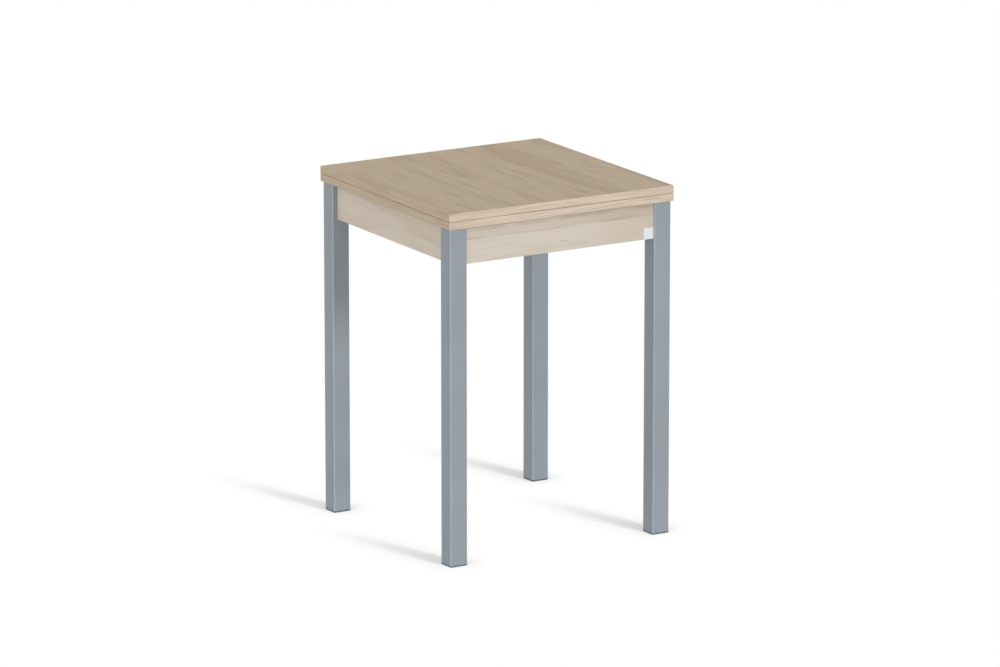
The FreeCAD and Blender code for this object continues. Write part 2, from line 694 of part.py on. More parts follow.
def outer_arrises(shape):
    """Names of the two long edges of a band on its outer face, which is the one at lowest Y."""
    face = shape.BoundBox.YMin
    return [f"Edge{count}" for count, edge in enumerate(shape.Edges, start=1)
            if edge.BoundBox.YMax - face < 1e-6 and edge.BoundBox.XLength > edge.BoundBox.ZLength]


def band(name, length, spot, turn=None):
    """Edge band lying along X, its outer face towards -Y and the arrises of that face rounded."""
    body = doc.addObject("PartDesign::Body", name)
    pad = body.newObject("PartDesign::Pad", f"{name}_pad")
    pad.Profile = rectangle(body, f"{name}_section", length, "edging")
    bind(pad, Length="leaf_board")
    doc.recompute()
    rounding = body.newObject("PartDesign::Fillet", f"{name}_arrises")
    rounding.Base = (pad, outer_arrises(pad.Shape))
    bind(rounding, Radius="min(edging_round; 0.9 * edging)")
    return place(body, spot, turn)


def leaf(side, under, tools):
    """Board and bands of one leaf; tools are the cuts made in it."""
    name = f"{side}_leaf"
    inner = "top_size - 2 * edging"
    board = box(f"{name}_board", (inner, inner, "leaf_board"),
                ("-half_top + edging", "-half_top + edging", under))
    keep(cut(f"{name}_panel", board, tools))
    middle = "half_top - edging / 2"
    front = band(f"{name}_front_band", "top_size", (0, f"-({middle})", under))
    left = band(f"{name}_left_band", inner, (f"-({middle})", 0, under), Rotation(Vector(0, 0, 1), -90))
    right = mirror(f"{name}_right_band", left, ACROSS)
    keep(group(f"{name}_edging", [front, mirror(f"{name}_back_band", front, ALONG), left,
                                  cut(f"{name}_fold_band", right, tools[:1])]))


leaf("lower", "leaf_under", [*mortise("lower"), top_holes])
leaf("upper", "upper_leaf_under", mortise("upper"))

bumper_spot = "half_top - bumper_inset"
keep(both_ends("leaf_bumpers",
               cylinder("leaf_bumper", "bumper_width", "leaf_gap",
                        (f"-({bumper_spot})", f"-({bumper_spot})", "lower_leaf_top"))))

# ---------------------------------------------------------------------------------------------
# Check every object, then write each piece to its own file
# ---------------------------------------------------------------------------------------------
doc.recompute()
for thing in doc.Objects:
    if "Invalid" in thing.State or "Error" in thing.State:
        raise RuntimeError(f"{thing.Label} did not recompute: {thing.State}")
for piece in nodes:
    if piece.Shape.isNull() or not piece.Shape.isValid() or not piece.Shape.Solids:
        raise RuntimeError(f"{piece.Label} has no valid solid")

os.makedirs("parts", exist_ok=True)
for piece in nodes:
    piece.Shape.exportStep(f"parts/{piece.Label}.step")
print(f"{len(nodes)} pieces, {sum(len(piece.Shape.Solids) for piece in nodes)} solids")
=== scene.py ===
import json
from math import pi, radians

import bpy
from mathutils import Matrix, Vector


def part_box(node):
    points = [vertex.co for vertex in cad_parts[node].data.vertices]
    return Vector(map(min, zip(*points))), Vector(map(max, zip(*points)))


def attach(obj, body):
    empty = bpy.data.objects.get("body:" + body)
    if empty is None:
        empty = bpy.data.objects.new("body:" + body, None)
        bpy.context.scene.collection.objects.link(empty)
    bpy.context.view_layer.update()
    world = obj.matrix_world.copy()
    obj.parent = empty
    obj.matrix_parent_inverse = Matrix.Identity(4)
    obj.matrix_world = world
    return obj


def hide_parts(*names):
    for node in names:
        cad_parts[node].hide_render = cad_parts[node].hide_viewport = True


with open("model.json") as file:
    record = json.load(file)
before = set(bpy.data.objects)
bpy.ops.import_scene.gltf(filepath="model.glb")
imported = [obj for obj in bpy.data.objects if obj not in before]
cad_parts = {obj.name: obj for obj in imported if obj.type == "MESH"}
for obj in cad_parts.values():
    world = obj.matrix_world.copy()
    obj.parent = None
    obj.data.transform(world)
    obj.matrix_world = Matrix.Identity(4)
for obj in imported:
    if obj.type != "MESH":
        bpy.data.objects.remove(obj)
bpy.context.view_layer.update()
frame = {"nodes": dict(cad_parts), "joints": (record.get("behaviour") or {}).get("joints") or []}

# ----------------------------------------------------------
# Legs: four lengths of 40 mm square steel tube with a 1.5 mm wall, rolled with small round
# corners, sawn square and powder coated a satin metallic grey before the plastic caps go in.
# ----------------------------------------------------------
LEG_CORNER = 0.0025
LEG_WALL = 0.0015
ARC_STEPS = 5                     # facets round a visible corner
EDGE_BREAK = 0.0003               # the small bevel that sanding or coating leaves on an edge
CORNERS = {"front_left": (-1, -1), "front_right": (1, -1), "back_left": (-1, 1), "back_right": (1, 1)}


def at(place, level):
    """Whether a place lies at a level, to a micrometre."""
    return abs(place - level) < 1e-6


def activate(piece):
    """Make the piece the only one selected."""
    bpy.ops.object.select_all(action="DESELECT")
    piece.select_set(True)
    bpy.context.view_layer.objects.active = piece


def pick(piece, mode, test):
    """Select the faces or edges of a piece that pass a test on their middle and direction."""
    bpy.ops.object.mode_set(mode="EDIT")
    bpy.ops.mesh.select_mode(type=mode)
    bpy.ops.mesh.select_all(action="DESELECT")
    bpy.ops.object.mode_set(mode="OBJECT")
    corners = piece.data.vertices
    if mode == "FACE":
        for face in piece.data.polygons:
            face.select = bool(test(face.center, face.normal))
    else:
        for edge in piece.data.edges:
            first, last = (corners[index].co for index in edge.vertices)
            edge.select = bool(test((first + last) / 2, (last - first).normalized()))
    bpy.ops.object.mode_set(mode="EDIT")


def done(piece):
    """Leave edit mode and put the piece's place into its mesh."""
    bpy.ops.object.mode_set(mode="OBJECT")
    bpy.ops.object.transform_apply(location=True, rotation=True, scale=True)
    return piece


def block(name, low, high):
    """Square-edged blank that fills the space from low to high, ready to be shaped."""
    low, high = Vector(low), Vector(high)
    bpy.ops.object.select_all(action="DESELECT")
    bpy.ops.mesh.primitive_cube_add(size=1, location=(low + high) / 2, scale=high - low)
    piece = bpy.context.active_object
    piece.name = piece.data.name = name
    return done(piece)


def round_edges(piece, radius, steps, test):
    """Round off the edges that pass the test."""
    pick(piece, "EDGE", test)
    bpy.ops.mesh.bevel(offset=radius, segments=steps, affect="EDGES", clamp_overlap=True)
    return done(piece)


def smooth(piece, angle=35):
    """Shade the piece smooth, all but the edges that turn by more than the angle."""
    activate(piece)
    bpy.ops.object.shade_smooth_by_angle(angle=radians(angle))
    return piece


def copy_of(piece, name, shift=(0, 0, 0), flip=(False, False)):
    """Another of the same piece with a mesh of its own, flipped left to right, front to back or both
    across the middle of the table, or shifted."""
    activate(piece)
    bpy.ops.object.duplicate(linked=False)
    twin = bpy.context.active_object
    twin.name = twin.data.name = name
    bpy.ops.object.mode_set(mode="EDIT")
    bpy.ops.mesh.select_all(action="SELECT")
    if any(flip):
        sides = [-1 if flipped else 1 for flipped in flip]
        bpy.ops.transform.resize(value=(*sides, 1), center_override=(0, 0, 0))
        bpy.ops.mesh.normals_make_consistent(inside=False)
    bpy.ops.transform.translate(value=shift)
    return done(twin)


def add(tree, kind, sockets=None, stops=(), **settings):
    """Add a shader node; sockets maps its inputs to values or to other nodes' outputs, and stops are
    the places and colours of a colour ramp, its two ends first."""
    node = tree.nodes.new("ShaderNode" + kind)
    for index, (place, code) in enumerate(stops):
        ramp = node.color_ramp.elements
        stop = ramp[index] if index < 2 else ramp.new(place)
        stop.position, stop.color = place, colour(code)
    for name, value in settings.items():
        setattr(node, name, value)
    for name, value in (sockets or {}).items():
        if isinstance(value, bpy.types.NodeSocket):
            tree.links.new(value, node.inputs[name])
        else:
            node.inputs[name].default_value = value
    return node


def colour(code):
    """A colour written as an sRGB hex value, as the linear one that a shader needs."""
    parts = [int(code[place:place + 2], 16) / 255 for place in (1, 3, 5)]
    return [part / 12.92 if part <= 0.04045 else ((part + 0.055) / 1.055) ** 2.4
            for part in parts] + [1]


def finish_named(name):
    """A new empty material, its node tree, and the place on the piece that its patterns follow."""
    material = bpy.data.materials.new(name)
    material.use_nodes = True
    tree = material.node_tree
    tree.nodes.clear()
    return material, tree, add(tree, "TexCoord").outputs["Object"]


def powder_coat(name, dark, light, roughness):
    """Powder coat with aluminium flake on steel: an even satin grey with a very fine orange peel, and
    flakes 0.2 mm across, drawn at 0.9 mm so that they show as a faint liveliness."""
    material, tree, place = finish_named(name)
    cloud = add(tree, "TexNoise", {"Vector": place, "Scale": 1 / 0.12, "Detail": 3.0})
    flakes = add(tree, "TexNoise", {"Vector": place, "Scale": 1 / 0.0009, "Detail": 1.0})
    peel = add(tree, "TexNoise", {"Vector": place, "Scale": 1 / 0.0022, "Detail": 1.5})
    tone = add(tree, "ValToRGB", {"Fac": cloud.outputs["Fac"]}, ((0.3, dark), (0.7, light)))
    sparkle = add(tree, "MapRange", {
        "Value": flakes.outputs["Fac"], "From Min": 0.3, "From Max": 0.7, "To Min": 0.975,
        "To Max": 1.025})
    shade = add(tree, "Mix", {
        "Factor": 1.0, "A": tone.outputs["Color"], "B": sparkle.outputs["Result"]}, data_type="RGBA",
        blend_type="MULTIPLY")
    gloss = add(tree, "MapRange", {
        "Value": cloud.outputs["Fac"], "From Min": 0.3, "From Max": 0.7, "To Min": roughness - 0.03,
        "To Max": roughness + 0.03})
    bump = add(tree, "Bump", {"Height": peel.outputs["Fac"], "Strength": 0.12, "Distance": 0.0001})
    coat = add(tree, "BsdfPrincipled", {
        "Base Color": shade.outputs["Result"], "Metallic": 0.15, "Roughness": gloss.outputs["Result"],
        "Normal": bump.outputs["Normal"]})
    add(tree, "OutputMaterial", {"Surface": coat.outputs["BSDF"]})
    return material


POWDER_COAT = powder_coat("satin_grey_powder_coat", "#8f989f", "#949da5", 0.44)
# The corner faces get a lighter, glossier copy of the coat: a painted highlight along the rolled corners.
CORNER_HIGHLIGHT_COAT = powder_coat("powder_coat_thin_on_corners", "#a8b0b6", "#b0b8be", 0.34)
leg_low, leg_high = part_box("leg_front_left")
leg = block("leg_tube_front_left", leg_low, leg_high)
round_edges(leg, LEG_CORNER, ARC_STEPS, lambda middle, along: abs(along.z) > 0.9)
leg.data.materials.append(POWDER_COAT)
leg.data.materials.append(CORNER_HIGHLIGHT_COAT)              # the corner faces are painted lighter and glossier: a painted highlight
pick(leg, "FACE", lambda middle, normal: min(abs(normal.x), abs(normal.y)) > 0.25)
leg.active_material_index = 1
bpy.ops.object.material_slot_assign()
done(leg)
pick(leg, "FACE", lambda middle, normal: abs(normal.z) > 0.9)
bpy.ops.mesh.inset(thickness=LEG_WALL)
bpy.ops.mesh.bridge_edge_loops()
done(leg)


def at_each_leg(piece, name):
    """The piece at the front left leg, and a copy of it at each of the other three."""
    pieces = {"front_left": piece}
    for corner, (across, along) in list(CORNERS.items())[1:]:
        shift = -(leg_low.x + leg_high.x) * (across > 0), -(leg_low.y + leg_high.y) * (along > 0), 0
        pieces[corner] = copy_of(piece, f"{name}_{corner}", shift)
    return pieces


for corner, tube in at_each_leg(leg, "leg_tube").items():
    smooth(tube)
    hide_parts(f"leg_{corner}")
    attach(tube, "base")

# ----------------------------------------------------------
# Foot caps: moulded dark grey polyethylene plugs, pushed into the tube's lower end. Three ribs grip
# the wall, and a 3 mm rim as wide as the tube stands on the floor, its wearing edge bevelled.
# ----------------------------------------------------------
CAP_BEVEL = 0.0008
PLUG_SIDE = 0.0362
PLUG_DEPTH = 0.022
PLUG_WALL = 0.002                 # its sides and its closed end
RIBS = 3
RIB = 0.0003                      # how far each stands out
RIB_PROFILE = ((0.0028, 0), (0.0004, RIB), (0.0008, 0), (0.0004, -RIB), (0.0016, 0))  # rise, growth


def moulded_plastic(name, dark, light, roughness):
    """Injection-moulded plastic from a spark-eroded mould: a matt skin with 0.5 mm grain."""
    material, tree, place = finish_named(name)
    cloud = add(tree, "TexNoise", {"Vector": place, "Scale": 1 / 0.02, "Detail": 3.0})
    grain = add(tree, "TexNoise", {"Vector": place, "Scale": 1 / 0.0005})
    tone = add(tree, "ValToRGB", {"Fac": cloud.outputs["Fac"]}, ((0.3, dark), (0.7, light)))
    wear = add(tree, "MapRange", {
        "Value": grain.outputs["Fac"], "To Min": roughness - 0.06, "To Max": roughness + 0.06})
    bump = add(tree, "Bump", {"Height": grain.outputs["Fac"], "Strength": 0.25, "Distance": 0.00008})
    skin = add(tree, "BsdfPrincipled", {
        "Base Color": tone.outputs["Color"], "Normal": bump.outputs["Normal"],
        "Roughness": wear.outputs["Result"], "IOR": 1.5})
    add(tree, "OutputMaterial", {"Surface": skin.outputs["BSDF"]})
    return material


def extrude(shift, factor=1, about=(0, 0, 0)):
    """Draw the selected faces out, then make their end narrower or wider about a point."""
    bpy.ops.mesh.extrude_region_move(TRANSFORM_OT_translate={"value": shift})
    if factor != 1:
        bpy.ops.transform.resize(value=(factor, factor, 1), center_override=about)


def plug_cap(name, low, high, rim, up):
    """Rim and hollow ribbed plug, shaped from one block; up is +1 where the plug points up."""
    wearing, inside = (low.z, low.z + rim) if up > 0 else (high.z, high.z - rim)
    cap = block(name, (low.x, low.y, min(wearing, inside)), (high.x, high.y, max(wearing, inside)))
    round_edges(cap, LEG_CORNER, ARC_STEPS, lambda middle, along: abs(along.z) > 0.9)
    pick(cap, "EDGE", lambda middle, along: at(middle.z, wearing))
    bpy.ops.mesh.bevel(offset=CAP_BEVEL, segments=3, affect="EDGES")
    done(cap)
    pick(cap, "FACE", lambda middle, normal: normal.z * up > 0.9 and at(middle.z, inside))
    bpy.ops.mesh.inset(thickness=(high.x - low.x - PLUG_SIDE) / 2)
    width = PLUG_SIDE
    for rise, growth in RIB_PROFILE * RIBS:
        extrude((0, 0, up * rise), (width + 2 * growth) / width, (low + high) / 2)
        width += 2 * growth
    extrude((0, 0, up * (PLUG_DEPTH - RIBS * sum(rise for rise, growth in RIB_PROFILE))))
    bpy.ops.mesh.inset(thickness=PLUG_WALL)
    extrude((0, 0, -up * (PLUG_DEPTH - PLUG_WALL)))
    return done(cap)


FOOT_PLASTIC = moulded_plastic("dark_grey_moulded_polyethylene", "#4d5459", "#565d63", 0.5)
low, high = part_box("foot_cap_front_left")
foot = plug_cap("foot_plug_front_left", low, high, leg_low.z - low.z, 1)
foot.data.materials.append(FOOT_PLASTIC)
for corner, cap in at_each_leg(foot, "foot_plug").items():
    smooth(cap)
    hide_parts(f"foot_cap_{corner}")
    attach(cap, "base")

# ----------------------------------------------------------
# Glide caps: the same plug in natural nylon for the tube's upper end. The turning top slides on
# their flat 2 mm rims.
# ----------------------------------------------------------
NYLON = moulded_plastic("natural_nylon", "#b9b8b0", "#c6c5bd", 0.42)
low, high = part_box("glide_cap_front_left")
glide = plug_cap("glide_plug_front_left", low, high, high.z - leg_high.z, -1)
glide.data.materials.append(NYLON)
for corner, cap in at_each_leg(glide, "glide_plug").items():
    smooth(cap)
    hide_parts(f"glide_cap_{corner}")
    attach(cap, "base")

# ----------------------------------------------------------
# Aprons: 16 mm chipboard faced with matt light oak melamine, cut to fit between the legs and
# screwed to the tabs. The printed grain runs along each apron; ends and top are raw board.
# ----------------------------------------------------------
ALONG_X, ALONG_Y = 0, 1
KNOT = Vector((0.010, 0, 0.661))  # the middle of the front apron's knot streak
KNOT_LENGTH = 0.016
KNOT_HEIGHT = 0.0022


def stretched(tree, place, grain, across, length):
    """Place in a pattern that is so many metres wide across the grain and so long along it."""
    scale = [1 / across] * 3
    scale[grain] = 1 / length
    return add(tree, "Mapping", {"Vector": place, "Scale": scale}).outputs["Vector"]


def oak_decor(name, grain, pale, mid, deep, streak, soft=1.0, rare=0.0, figured=None, offset=(0, 0, 0)):
    """Matt printed light oak under melamine: soft stave bands 80 mm wide, lens-shaped darker streaks
    16 mm by 150 mm, fewer of them with more of rare, and fine vessels about 1 mm wide, drawn 2 mm wide
    so that they show."""
    material, tree, place = finish_named(name)
    place = add(tree, "Mapping", {"Vector": place, "Location": offset}).outputs["Vector"]
    staves = add(tree, "TexNoise", {"Vector": stretched(tree, place, grain, 0.080, 0.70), "Scale": 1.0})
    figure = add(tree, "TexNoise", {
        "Vector": stretched(tree, place, grain, 0.024, 0.30), "Scale": 1.0, "Distortion": 0.4})
    streaks = add(tree, "TexNoise", {
        "Vector": stretched(tree, place, grain, 0.016, 0.15), "Scale": 1.0, "Detail": 1.5,
        "Distortion": 0.5})
    vessels = add(tree, "TexNoise", {
        "Vector": stretched(tree, place, grain, 0.0020, 0.08), "Scale": 1.0, "Roughness": 0.6})
    base = add(tree, "Math", {0: staves.outputs["Fac"], 1: figure.outputs["Fac"]})
    base = add(tree, "ValToRGB", {"Fac": base.outputs[0]}, ((0.80, mid), (1.0, pale)))
    dark = add(tree, "MapRange", {
        "Value": streaks.outputs["Fac"], "From Min": 0.50 + rare, "From Max": 0.74 + rare,
        "To Max": 0.7 * soft})
    tone = add(tree, "Mix", {
        "Factor": dark.outputs["Result"], "A": base.outputs["Color"], "B": colour(deep)},
        data_type="RGBA")
    fine = add(tree, "MapRange", {
        "Value": vessels.outputs["Fac"], "From Min": 0.50, "From Max": 0.75, "To Max": 0.30 * soft})
    tone = add(tree, "Mix", {
        "Factor": fine.outputs["Result"], "A": tone.outputs["Result"], "B": colour(streak)},
        data_type="RGBA")
    if figured:
        tone = figured(tree, place, tone)
    gloss = add(tree, "MapRange", {
        "Value": vessels.outputs["Fac"], "From Min": 0.3, "From Max": 0.7, "To Min": 0.60, "To Max": 0.68})
    bump = add(tree, "Bump", {"Height": vessels.outputs["Fac"], "Strength": 0.15, "Distance": 0.0001})
    face = add(tree, "BsdfPrincipled", {
        "Base Color": tone.outputs["Result"], "Specular IOR Level": 0.25,
        "Roughness": gloss.outputs["Result"], "Normal": bump.outputs["Normal"]})
    add(tree, "OutputMaterial", {"Surface": face.outputs["BSDF"]})
    return material


def raw_chipboard():
    """Sawn chipboard: pale pressed spruce and beech chips 1 to 2 mm across, with darker bark specks and
    small open pores."""
    material, tree, place = finish_named("raw_chipboard_edge")
    chips = add(tree, "TexVoronoi", {"Vector": place, "Scale": 1 / 0.0016})
    dust = add(tree, "TexNoise", {"Vector": place, "Scale": 1 / 0.0007, "Detail": 3.0})
    bands = add(tree, "TexNoise", {"Vector": place, "Scale": 1 / 0.02})
    split = add(tree, "SeparateColor", {"Color": chips.outputs["Color"]})
    tone = add(tree, "ValToRGB", {
        "Fac": split.outputs["Red"]}, ((0.0, "#ab9473"), (1.0, "#d9c7a6"), (0.30, "#c8b38f")))
    grey = add(tree, "ValToRGB", {"Fac": dust.outputs["Fac"]})
    dusty = add(tree, "Mix", {
        "Factor": 0.25, "A": tone.outputs["Color"], "B": grey.outputs["Color"]}, data_type="RGBA",
        blend_type="SOFT_LIGHT")
    worn = add(tree, "MapRange", {
        "Value": bands.outputs["Fac"], "From Min": 0.3, "From Max": 0.7, "To Min": 0.78, "To Max": 0.95})
    bump = add(tree, "Bump", {"Height": dust.outputs["Fac"], "Strength": 0.6, "Distance": 0.0004})
    wood = add(tree, "BsdfPrincipled", {
        "Base Color": dusty.outputs["Result"], "Roughness": worn.outputs["Result"],
        "Normal": bump.outputs["Normal"]})
    add(tree, "OutputMaterial", {"Surface": wood.outputs["BSDF"]})
    return material


def board(name, node, face_axis, decor):
    """Faced board: its two wide faces in the decor, raw chipboard on its four edges."""
    piece = block(name, *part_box(node))
    piece.data.materials.append(decor)
    piece.data.materials.append(RAW_CHIPBOARD)
    pick(piece, "FACE", lambda middle, normal: abs(normal[face_axis]) < 0.5)
    piece.active_material_index = 1
    bpy.ops.object.material_slot_assign()
    return done(piece)


def front_figure(tree, place, tone):
    """Figure of the front apron: greyer heartwood in the upper third, fuller to the right, with a darker
    year ring in patches along its lower edge, a browner band in patches just under the top edge that is
    painted shade under the leaves, a small knot streak under the middle, and a browner tone towards the
    right-hand end."""
    spot = add(tree, "SeparateXYZ", {"Vector": place})
    slow = add(tree, "TexNoise", {"W": spot.outputs["X"], "Scale": 9.0}, noise_dimensions="1D")
    drift = add(tree, "MapRange", {"Value": slow.outputs["Fac"], "To Min": 0.6890, "To Max": 0.6944})
    level = add(tree, "Math", {0: spot.outputs["Z"], 1: drift.outputs["Result"]}, operation="SUBTRACT")
    fuller = add(tree, "MapRange", {
        "Value": spot.outputs["X"], "From Min": -0.05, "From Max": 0.15, "To Min": 0.30, "To Max": 0.47})
    heart = add(tree, "MapRange", {
        "Value": level.outputs[0], "From Min": -0.005, "From Max": 0.003,
        "To Max": fuller.outputs["Result"]}, interpolation_type="SMOOTHSTEP")
    tone = add(tree, "Mix", {
        "Factor": heart.outputs["Result"], "A": tone.outputs["Result"], "B": colour("#bbab9a")},
        data_type="RGBA")
    # The first is a year ring; the second, just under the apron's top edge, is painted shade under the
    # leaves.
    for rise, half, start, strongest, shade in ((0.0, 0.0026, 3.0, 0.48, "#94826e"),
                                                (0.018, 0.005, 7.0, 0.50, "#9c8063")):
        patches = add(tree, "Math", {0: spot.outputs["X"], 1: start})
        patches = add(tree, "TexNoise", {
            "W": patches.outputs[0], "Scale": 11.0, "Detail": 1.0}, noise_dimensions="1D")
        strength = add(tree, "MapRange", {
            "Value": patches.outputs["Fac"], "From Min": 0.35, "From Max": 0.65, "To Max": strongest})
        off = add(tree, "Math", {0: level.outputs[0], 1: rise}, operation="SUBTRACT")
        off = add(tree, "Math", {0: off.outputs[0]}, operation="ABSOLUTE")
        ring = add(tree, "MapRange", {
            "Value": off.outputs[0], "From Max": half, "To Max": 0.0,
            "To Min": strength.outputs["Result"]}, interpolation_type="SMOOTHSTEP")
        tone = add(tree, "Mix", {
            "Factor": ring.outputs["Result"], "A": tone.outputs["Result"], "B": colour(shade)},
            data_type="RGBA")
    knot = add(tree, "Mapping", {
        "Vector": place, "Location": (-KNOT.x / KNOT_LENGTH, 0, -KNOT.z / KNOT_HEIGHT),
        "Scale": (1 / KNOT_LENGTH, 0, 1 / KNOT_HEIGHT)})
    knot = add(tree, "VectorMath", {0: knot.outputs["Vector"]}, operation="LENGTH")
    knot = add(tree, "MapRange", {
        "Value": knot.outputs["Value"], "From Min": 0.3, "From Max": 1.2, "To Min": 0.22, "To Max": 0.0},
        interpolation_type="SMOOTHSTEP")
    tone = add(tree, "Mix", {
        "Factor": knot.outputs["Result"], "A": tone.outputs["Result"], "B": colour("#8f7d6b")},
        data_type="RGBA")
    browner = add(tree, "MapRange", {
        "Value": spot.outputs["X"], "From Max": 0.23, "To Max": 0.38}, interpolation_type="SMOOTHSTEP")
    return add(tree, "Mix", {
        "Factor": browner.outputs["Result"], "A": tone.outputs["Result"], "B": colour("#bda995")},
        data_type="RGBA")


RAW_CHIPBOARD = raw_chipboard()
APRON_OAK_FRONT = oak_decor("light_oak_melamine_front_apron", ALONG_X, "#d5cbbd", "#cdc2b4", "#bdb09f",
                            "#b0a18e", 0.5, figured=front_figure)
APRON_OAK_LONG = oak_decor("light_oak_melamine_apron_along_x", ALONG_X, "#d5cbbd", "#cdc2b4", "#bdb09f",
                           "#b0a18e", 0.5, offset=(0.3, 0.2, 0.4))
# The side aprons' decor is a lighter copy of the front and back aprons': painted light on the side faces.
APRON_OAK_SIDE_PAINTED_LIGHTER = oak_decor("light_oak_melamine_apron_along_y", ALONG_Y, "#e2d6c5", "#dacdbb", "#c9baa5",
                           "#bcac94", 0.5, offset=(0.1, 0.7, 0.2))
aprons = [board("front_apron", "apron_front", 1, APRON_OAK_FRONT),
          board("back_apron", "apron_back", 1, APRON_OAK_LONG),
          board("left_apron", "apron_left", 0, APRON_OAK_SIDE_PAINTED_LIGHTER),
          board("right_apron", "apron_right", 0, APRON_OAK_SIDE_PAINTED_LIGHTER)]
for apron, node in zip(aprons, ("apron_front", "apron_back", "apron_left", "apron_right")):
    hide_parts(node)
    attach(apron, "base")

# ----------------------------------------------------------
# Apron bands: 1 mm printed plastic edge band, glued along the bottom edge of each apron and
# scraped to a small radius on its two long arrises.
# ----------------------------------------------------------
BAND_ROUND = 0.0006


def oak_band(name, grain, pale, mid, streak, offset=(0, 0, 0)):
    """Printed edge band: fine long lines 2 mm apart along the band, and slow changes of tone."""
    material, tree, place = finish_named(name)
    place = add(tree, "Mapping", {"Vector": place, "Location": offset}).outputs["Vector"]
    slow = add(tree, "TexNoise", {"Vector": stretched(tree, place, grain, 0.010, 0.20), "Scale": 1.0})
    lines = add(tree, "TexNoise", {
        "Vector": stretched(tree, place, grain, 0.0020, 0.09), "Scale": 1.0, "Roughness": 0.6})
    tone = add(tree, "ValToRGB", {"Fac": slow.outputs["Fac"]}, ((0.35, mid), (0.65, pale)))
    dark = add(tree, "MapRange", {
        "Value": lines.outputs["Fac"], "From Min": 0.45, "From Max": 0.72, "To Max": 0.75})
    shade = add(tree, "Mix", {
        "Factor": dark.outputs["Result"], "A": tone.outputs["Color"], "B": colour(streak)},
        data_type="RGBA")
    gloss = add(tree, "MapRange", {
        "Value": lines.outputs["Fac"], "From Min": 0.3, "From Max": 0.7, "To Min": 0.46, "To Max": 0.54})
    face = add(tree, "BsdfPrincipled", {
        "Base Color": shade.outputs["Result"], "IOR": 1.5, "Roughness": gloss.outputs["Result"]})
    add(tree, "OutputMaterial", {"Surface": face.outputs["BSDF"]})
    return material


APRON_BAND_LONG = oak_band("oak_edge_band_along_x", ALONG_X, "#d5cbbd", "#ccc1b2", "#b0a18e")
# The side aprons' band is a lighter copy of the others: painted light, as on the side aprons.
APRON_BAND_SIDE_PAINTED_LIGHTER = oak_band("oak_edge_band_along_y", ALONG_Y, "#e2d6c5", "#d8cbb8", "#bcac94")
band_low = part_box("apron_edging")[0].z
bands = []
for apron, axis in zip(aprons, (ALONG_X, ALONG_X, ALONG_Y, ALONG_Y)):
    corners = [Vector(corner) for corner in apron.bound_box]
    low = Vector(map(min, *corners))
    high = Vector(map(max, *corners))
    strip = block(f"{apron.name}_band", (low.x, low.y, band_low), (high.x, high.y, low.z))
    round_edges(strip, BAND_ROUND, 3, lambda middle, along: abs(along[axis]) > 0.9
                and at(middle.z, band_low))
    strip.data.materials.append(APRON_BAND_LONG if axis == ALONG_X else APRON_BAND_SIDE_PAINTED_LIGHTER)
    smooth(strip)
    bands.append(strip)
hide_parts("apron_edging")
for strip in bands:
    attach(strip, "base")

# ----------------------------------------------------------
# Blank tag: a 24 mm square of white film with rounded corners, stuck to the front apron's lower
# right corner.
# ----------------------------------------------------------
TAG_CORNER = 0.0012


def white_film():
    """Gloss-laminated polypropylene film: white, very slightly uneven where it was rubbed down."""
    material, tree, place = finish_named("white_laminated_film")
    rubbed = add(tree, "TexNoise", {"Vector": place, "Scale": 1 / 0.006})
    tone = add(tree, "ValToRGB", {"Fac": rubbed.outputs["Fac"]}, ((0.3, "#e1e3e2"), (0.7, "#e7e9e8")))
    gloss = add(tree, "MapRange", {"Value": rubbed.outputs["Fac"], "To Min": 0.26, "To Max": 0.32})
    bump = add(tree, "Bump", {"Height": rubbed.outputs["Fac"], "Strength": 0.05, "Distance": 0.0001})
    film = add(tree, "BsdfPrincipled", {
        "Base Color": tone.outputs["Color"], "IOR": 1.49, "Roughness": gloss.outputs["Result"],
        "Normal": bump.outputs["Normal"]})
    add(tree, "OutputMaterial", {"Surface": film.outputs["BSDF"]})
    return material


tag = block("front_tag", *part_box("blank_tag"))
round_edges(tag, TAG_CORNER, 4, lambda middle, along: abs(along.y) > 0.9)
tag.data.materials.append(white_film())
smooth(tag)
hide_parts("blank_tag")
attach(tag, "base")

# ----------------------------------------------------------
# Tabs: 3 mm steel plates with rounded free corners, two screw holes each, welded inside the frame to
# the legs' inner faces and coated with them. The weld stands in the corner as a row of ripples.
# ----------------------------------------------------------
TAB_LENGTH = 0.034
TAB_PLATE = 0.003
TAB_CORNER = 0.004
TAB_SCREW_REACH = 0.020           # leg face to screws
TAB_SCREW_SPREAD = 0.028
SCREW_BORE = 0.00205
WELD_RIPPLES = 23
WELD_STEP = 0.0018                # from ripple to ripple
WELD_RADIUS = 0.0017
WELD_WAIST = 0.84                 # width between the ripples, over the width of one
WELD_SINK = 0.0004                # from the corner's faces to the bead's middle; also its first length


def combine(piece, other, how="DIFFERENCE"):
    """Cut the other shape out of the piece, add it, or keep what both share; the other is used up."""
    activate(piece)
    step = piece.modifiers.new("shape", "BOOLEAN")
    step.operation, step.solver, step.object = how, "EXACT", other
    bpy.ops.object.modifier_apply(modifier=step.name)
    bpy.data.objects.remove(other)
    return piece


def rod(name, radius, length, middle, axis=2, sides=32, spin=0):
    """Round or many-sided bar about its middle, along X, Y or Z."""
    turn = [(0, pi / 2, 0), (pi / 2, 0, 0), (0, 0, spin)][axis]
    bpy.ops.object.select_all(action="DESELECT")
    bpy.ops.mesh.primitive_cylinder_add(vertices=sides, radius=radius, depth=length, location=middle,
                                        rotation=turn)
    piece = bpy.context.active_object
    piece.name = piece.data.name = name
    return done(piece)


